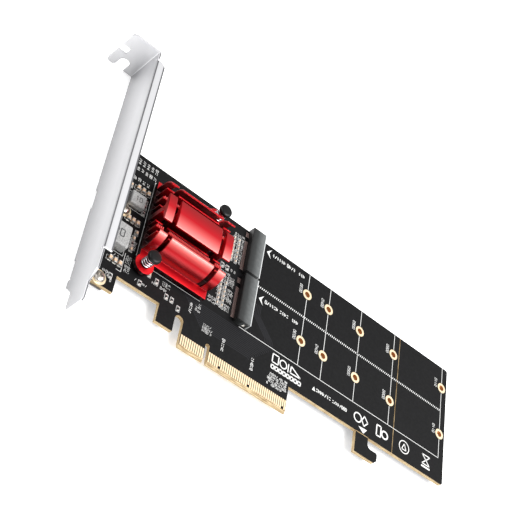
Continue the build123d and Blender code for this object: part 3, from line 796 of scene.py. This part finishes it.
def lay_solder():
    pads = Relief("solder_pads", "tinned_metal", "tinned_metal", FRONT, FRONT + SOLDER_HEIGHT)
    for low, high in islands("capacitor_ends") + islands("resistor_ends"):
        middle = (low.x + high.x) / 2
        pads.rectangle((low.x - SOLDER_SIDE, low.y - SOLDER_TIP),
                       (high.x + SOLDER_SIDE, high.y + SOLDER_TIP), SOLDER_TIP)
        pads.bar((middle, low.y - SOLDER_TIP), (middle, high.y + SOLDER_TIP), high.x - low.x)
    pads.done()


lay_solder()


# White print on the front face, laid out round the drive holes

PRINT_HEIGHT = 0.03
ROWS = sorted({round(hole[1], 3) for hole in holes}, reverse=True)
COLUMNS = sorted({round(hole[0], 3) for hole in holes})


def printed(name):
    return Relief(name, "print_white", "print_white", FRONT, FRONT + PRINT_HEIGHT)


# Lines through the holes, a hatched line between the two drives and an arrow at each socket
LINE = 0.24
BOTTOM_LINE = 23.6
BOTTOM_START = 11.8
BOARD_MARGIN = 0.3
RING_CLEAR = 0.25
DIVIDER = 46.75
HATCH_START = 1.4
HATCH_END = 0.5
HATCH_PITCH = 0.95
HATCH_LEAN = 0.35
HATCH_HALF = 0.45
HATCH_WIDTH = 0.34
ARROW_TIPS = ((18.5, 65.3), (18.5, 41.7))
ARROW_LENGTH = 2.4
ARROW_NOTCH = 1.35
ARROW_HALF = 2.3


def print_lines():
    lines = printed("print_lines")
    lines.bar((BOTTOM_START, BOTTOM_LINE), (COLUMNS[-1] + LINE / 2, BOTTOM_LINE), LINE)
    upper, lower = ROWS
    clear = RING_OUTER + RING_CLEAR
    for x in COLUMNS:
        lines.bar((x, BOARD_HIGH.y - BOARD_MARGIN), (x, upper + clear), LINE)
        lines.bar((x, upper - clear), (x, lower + clear), LINE)
        lines.bar((x, lower - clear), (x, BOTTOM_LINE), LINE)
    x = SOCKET_HIGH.x + HATCH_START
    while x < COLUMNS[-1] - HATCH_END:
        lines.bar((x, DIVIDER - HATCH_HALF), (x + HATCH_LEAN, DIVIDER + HATCH_HALF), HATCH_WIDTH)
        x += HATCH_PITCH
    for x, y in ARROW_TIPS:
        lines.plate([(x, y), (x + ARROW_LENGTH, y - ARROW_HALF), (x + ARROW_NOTCH, y),
                     (x + ARROW_LENGTH, y + ARROW_HALF)])
    lines.done()


# Drive lengths in millimetres beside their holes
LENGTH_NAMES = ("0030", "0042", "0060", "0080", "0110")
NAME_LEFT = 3.0
NAME_DOWN = 0.9
NAME_SIZE = 1.3
NAME_WIDTH = 0.16


def print_numbers():
    numbers = printed("print_numbers")
    for x, name in zip(COLUMNS, LENGTH_NAMES):
        for y in ROWS:
            numbers.number(name, (x - NAME_LEFT, y - NAME_DOWN), NAME_SIZE, 90, NAME_WIDTH)
    numbers.done()


# Fine print: rows of small plain strokes where the card has its lines of text.
# The notes by the arrows are words with a start and a length, at two heights
NOTE_ROWS = (64.7, 41.1)
NOTE_WORDS = ((21.8, 6.8), (29.6, 5.4), (36.0, 4.2))
NOTE_SIZE = 1.5
NOTE_WIDTH = 0.32

# Two bold words by the bottom edge, each a start, a length, a size and a width, after a pointer
EDGE_WORDS = (((52.6, 17.5), 8.4, 1.5, 0.34), ((61.4, 17.3), 8.0, 1.3, 0.28))
POINTER = ((50.5, 17.3), (52.2, 17.3), (51.4, 19.2))

# A paragraph by the end of the edge contacts, with a narrow one beside it
PARAGRAPH_SIZE = 0.9
PARAGRAPH_ROWS = 5
PARAGRAPH_LEFT = 28.6
PARAGRAPH_TOP = 12.4
PARAGRAPH_INDENT = 0.5
PARAGRAPH_LENGTH = 7.6
PARAGRAPH_STEP = 1.15
NARROW_ROWS = 4
NARROW_LEFT = 36.7
NARROW_TOP = 12.6
NARROW_LENGTH = 1.6
NARROW_STEP = 1.2

# Rows of upright labels beside the bracket: how many, the first place, the step from one to the next,
# the heights and lengths of those that share a place, and the size
LABEL_ROWS = ((5, -45.0, 1.95, ((64.6, 2.7), (61.4, 2.4)), 1.15), (4, -45.4, 2.05, ((56.6, 2.3),), 1.1))

# Upright lines are a place and two heights, and fields two corners and a turn
UPRIGHT_SIZE = 1.2
UPRIGHT_LINES = ((-9.9, 16.3, 21.6), (6.9, 9.1, 14.6), (21.2, 9.0, 14.8), (38.1, 9.0, 13.8))
FINE_FIELDS = (
    ((2.0, 50.4), (7.0, 64.4), 90), ((-1.2, 45.0), (6.4, 46.6), 0), ((-2.8, 38.0), (6.8, 43.5), 90),
    ((-1.2, 30.4), (6.8, 37.0), 90), ((-4.2, 26.2), (6.8, 29.6), 90), ((-41.8, 26.4), (-38.2, 31.4), 90),
    ((-40.8, 19.2), (-38.0, 23.0), 90), ((-40.6, 15.6), (-38.2, 18.6), 90),
    ((-35.4, 14.8), (-29.4, 16.6), 0), ((-28.6, 18.0), (-21.0, 19.4), 0), ((-24.2, 19.8), (-20.4, 22.4), 90),
    ((-23.8, 14.2), (-22.0, 16.2), 90), ((-8.6, 18.6), (-6.2, 22.9), 90), ((-3.8, 12.1), (1.3, 16.9), 0),
    ((-46.6, 18.0), (-43.4, 20.6), 0), ((-48.6, 8.2), (-44.0, 11.8), 0),
)
FIELD_SIZE = 1.0
FIELD_WIDTH = 0.12
BOLD_WIDTH = 0.2
FULL = 1.0


def print_fine():
    fine = printed("print_fine")
    for y in NOTE_ROWS:
        for start, length in NOTE_WORDS:
            fine.scribble((start, y), length, NOTE_SIZE, 0, NOTE_WIDTH, FULL)
    for start, length, size, width in EDGE_WORDS:
        fine.scribble(start, length, size, 0, width, FULL)
    fine.plate(POINTER)
    for row in range(PARAGRAPH_ROWS):
        left = PARAGRAPH_LEFT + PARAGRAPH_INDENT * (row % 2)
        fine.scribble((left, PARAGRAPH_TOP - PARAGRAPH_STEP * row), PARAGRAPH_LENGTH, PARAGRAPH_SIZE)
    for row in range(NARROW_ROWS):
        fine.scribble((NARROW_LEFT, NARROW_TOP - NARROW_STEP * row), NARROW_LENGTH, PARAGRAPH_SIZE)
    for count, first, step, labels, size in LABEL_ROWS:
        for label in range(count):
            for y, length in labels:
                fine.scribble((first + step * label, y), length, size, 90, BOLD_WIDTH, FULL)
    for x, low, high in UPRIGHT_LINES:
        fine.scribble((x, low), high - low, UPRIGHT_SIZE, 90, BOLD_WIDTH, FULL)
    for low, high, turn in FINE_FIELDS:
        fine.field(low, high, FIELD_SIZE, turn, FIELD_WIDTH)
    fine.done()


# Outlines round the small parts, and the lines beside the heatsink and the inductors
OUTLINE_SIDE = 0.35
OUTLINE_TIP = 0.75
OUTLINE_WIDTH = 0.13
SINK_LINE = 0.2
SINK_LINES = (
    ((-36.0, 60.9), (-37.2, 60.9), (-37.2, 25.0)),
    ((-30.6, 23.4), (-7.3, 23.4)),
    ((-41.5, 23.2), (-41.5, 14.6), (-43.6, 14.6)),
)


def print_outlines():
    outlines = printed("print_outlines")
    for low, high in islands("capacitor_bodies") + islands("resistor_bodies"):
        along_y = high.y - low.y >= high.x - low.x
        side, tip = (OUTLINE_SIDE, OUTLINE_TIP) if along_y else (OUTLINE_TIP, OUTLINE_SIDE)
        outlines.rectangle((low.x - side, low.y - tip), (high.x + side, high.y + tip), OUTLINE_WIDTH)
    for inductor in ("inductor_large", "inductor_small"):
        low, high = box(inductor)
        outlines.rectangle((low.x - OUTLINE_TIP, low.y - OUTLINE_TIP),
                           (high.x + OUTLINE_TIP, high.y + OUTLINE_TIP), OUTLINE_WIDTH)
    for points in SINK_LINES:
        outlines.path(points, SINK_LINE)
    outlines.done()


# Plain numbers on the tops of the two inductors: the digits and their size
INDUCTOR_NUMBERS = {"inductor_large": ("20", 3.0), "inductor_small": ("10", 1.9)}
INK_HEIGHT = 0.02
INK_WIDTH = 0.13
INK_LEFT = 0.7
INK_DOWN = 0.5


def number_inductors():
    for inductor, (digits, size) in INDUCTOR_NUMBERS.items():
        low, high = box(inductor)
        x, y = middle_of(low, high)
        ink = Relief(inductor + "_number", "chip_black", "inductor_grey", high.z, high.z + INK_HEIGHT)
        ink.number(digits, (x - size * INK_LEFT, y - size * INK_DOWN), size, 0, size * INK_WIDTH)
        ink.done()


# Traces that show faintly under the black mask, from the switch chip to the edge contacts
TRACE_HEIGHT = 0.012
TRACE_PITCH = 0.78
TRACE_WIDTH = 0.36
TRACES = 13
TRACE_LEFT = -14.0
TRACE_RIGHT = 27.5
TRACE_TOP = 22.6
TRACE_BEND = 0.7
DRIVE_TRACES = 6
DRIVE_TRACE_LEFT = 16.5
DRIVE_TRACE_SLANT = 8.0
DRIVE_TRACE_HEIGHTS = (38.5, 34.0, 26.0, 24.3)


def lay_traces():
    traces = Relief("traces", "trace_black", "solder_mask_black", FRONT, FRONT + TRACE_HEIGHT)
    for trace in range(TRACES):
        y = TRACE_TOP - TRACE_PITCH * trace
        left = TRACE_LEFT + TRACE_PITCH * trace
        right = TRACE_RIGHT - TRACE_PITCH * trace
        traces.path([(left - TRACE_BEND, y + TRACE_BEND), (left, y), (right, y),
                     (right + TRACE_BEND, y - TRACE_BEND)], TRACE_WIDTH)
    for trace in range(DRIVE_TRACES):
        start = DRIVE_TRACE_LEFT + TRACE_PITCH * trace
        end = start + DRIVE_TRACE_SLANT
        traces.path(list(zip((start, start, end, end), DRIVE_TRACE_HEIGHTS)), TRACE_WIDTH)
    traces.done()


# Plain shapes where the card has its marks, by their places from left to right
BLOCKS = 8
BLOCK_LEFT = 29.5
BLOCK_PITCH = 1.95
BLOCK_LENGTH = 1.4
BLOCK_LOW = 15.4
BLOCK_HIGH = 16.9
BLOCK_LINE = 0.55


def print_shapes():
    shapes = printed("print_shapes")

    # A square, a ring, a bar and a triangle over a row of small blocks
    shapes.rectangle((29.6, 18.2), (32.6, 21.9), 0.5)
    shapes.ring((35.1, 19.9), 1.45, 1.95)
    shapes.bar((37.7, 17.9), (37.7, 21.6), 0.5)
    shapes.path([(38.9, 18.3), (44.2, 18.5), (39.1, 21.4)], 0.55, closed=True)
    for block in range(BLOCKS):
        left = BLOCK_LEFT + BLOCK_PITCH * block
        shapes.rectangle((left, BLOCK_LOW), (left + BLOCK_LENGTH, BLOCK_HIGH), BLOCK_LINE)

    # A ring, a diamond and a pointer over the retention hook, with a box and a ring beside them
    shapes.ring((75.4, 18.2), 1.7, 2.25)
    shapes.path([(79.0, 15.9), (81.0, 18.2), (79.0, 20.5), (77.7, 18.2)], 0.5, closed=True)
    shapes.plate([(76.2, 14.7), (79.1, 12.6), (80.9, 15.0)])
    shapes.rectangle((86.0, 15.8), (88.4, 20.6), 0.6)
    shapes.ring((90.6, 17.9), 1.3, 2.0)

    # A triangle in a ring, and two triangles tip to tip over a bar
    shapes.ring((101.85, 18.3), 2.55, 2.95)
    shapes.path([(100.6, 17.1), (101.85, 19.9), (103.1, 17.1)], 0.4, closed=True)
    shapes.path([(112.5, 20.9), (117.0, 16.6), (112.5, 16.6), (117.0, 20.9)], 0.45, closed=True)
    shapes.bar((112.2, 15.4), (117.2, 15.4), 0.8)
    shapes.done()


print_lines()
print_numbers()
print_fine()
print_outlines()
number_inductors()
lay_traces()
print_shapes()


# Floor and light

FLOOR_REACH = 3.0
FLOOR_GAP = 0.2
FLOOR_GLOW = 0.45
SKY_STRENGTH = 0.48
WHITE = (1, 1, 1, 1)


def make_floor():
    """A plain pale floor just under the card, which glows a little."""
    corners = [(-FLOOR_REACH, -FLOOR_REACH, 0), (FLOOR_REACH, -FLOOR_REACH, 0),
               (FLOOR_REACH, FLOOR_REACH, 0), (-FLOOR_REACH, FLOOR_REACH, 0)]
    floor_mesh = bpy.data.meshes.new("floor")
    floor_mesh.from_pydata(corners, [], [(0, 1, 2, 3)])
    floor = bpy.data.objects.new("floor", floor_mesh)
    floor.location = (0, 0, CAD_BOX[0].z - FLOOR_GAP * MM)
    bpy.context.collection.objects.link(floor)
    floor_white = Surface("floor_white", srgb(252, 252, 252), roughness=0.9, specular=0.0)
    floor_white.shader.inputs["Emission Color"].default_value = WHITE
    floor_white.shader.inputs["Emission Strength"].default_value = FLOOR_GLOW
    floor_mesh.materials.append(floor_white.material)


def make_sky():
    world = bpy.data.worlds.new("studio")
    world.use_nodes = True
    sky = world.node_tree.nodes["Background"]
    sky.inputs["Color"].default_value = WHITE
    sky.inputs["Strength"].default_value = SKY_STRENGTH
    bpy.context.scene.world = world


def soft_light(name, towards, distance, width, depth, power):
    """A large soft light that shines on the middle of the card from the direction given."""
    lamp = bpy.data.lights.new(name, "AREA")
    lamp.shape = "RECTANGLE"
    lamp.size = width
    lamp.size_y = depth
    lamp.energy = power
    holder = bpy.data.objects.new(name, lamp)
    direction = Vector(towards).normalized()
    holder.location = (CAD_BOX[0] + CAD_BOX[1]) / 2 + direction * distance
    holder.rotation_euler = direction.to_track_quat("Z", "Y").to_euler()
    bpy.context.collection.objects.link(holder)


make_floor()
make_sky()
soft_light("key", towards=(0.446, -0.2, 0.872), distance=0.9, width=1.2, depth=0.45, power=13.0)
soft_light("side", towards=(-0.9, 0.2, 0.6), distance=1.2, width=0.9, depth=0.9, power=6.0)


# Camera, as the photograph has it: where it stands, its right and up directions and its lens

CAMERA_PLACE = Vector((-196.432, -247.624, 297.165)) * MM
CAMERA_RIGHT = Vector((0.733835, 0.13519, 0.66574))
CAMERA_UP = Vector((-0.512667, 0.753193, 0.412156))
FOCAL_PIXELS = 1222.75
PHOTO_WIDTH = 520
SENSOR = 36.0


def make_camera():
    lens = bpy.data.cameras.new("camera")
    lens.sensor_width = SENSOR
    lens.lens = FOCAL_PIXELS / PHOTO_WIDTH * SENSOR
    camera = bpy.data.objects.new("camera", lens)
    towards_eye = CAMERA_RIGHT.cross(CAMERA_UP)
    turn = Matrix((CAMERA_RIGHT, CAMERA_UP, towards_eye)).transposed().to_4x4()
    camera.matrix_world = Matrix.Translation(CAMERA_PLACE) @ turn
    bpy.context.collection.objects.link(camera)
    bpy.context.scene.camera = camera


make_camera()
bpy.context.scene.view_settings.view_transform = "Standard"


bpy.context.view_layer.update()
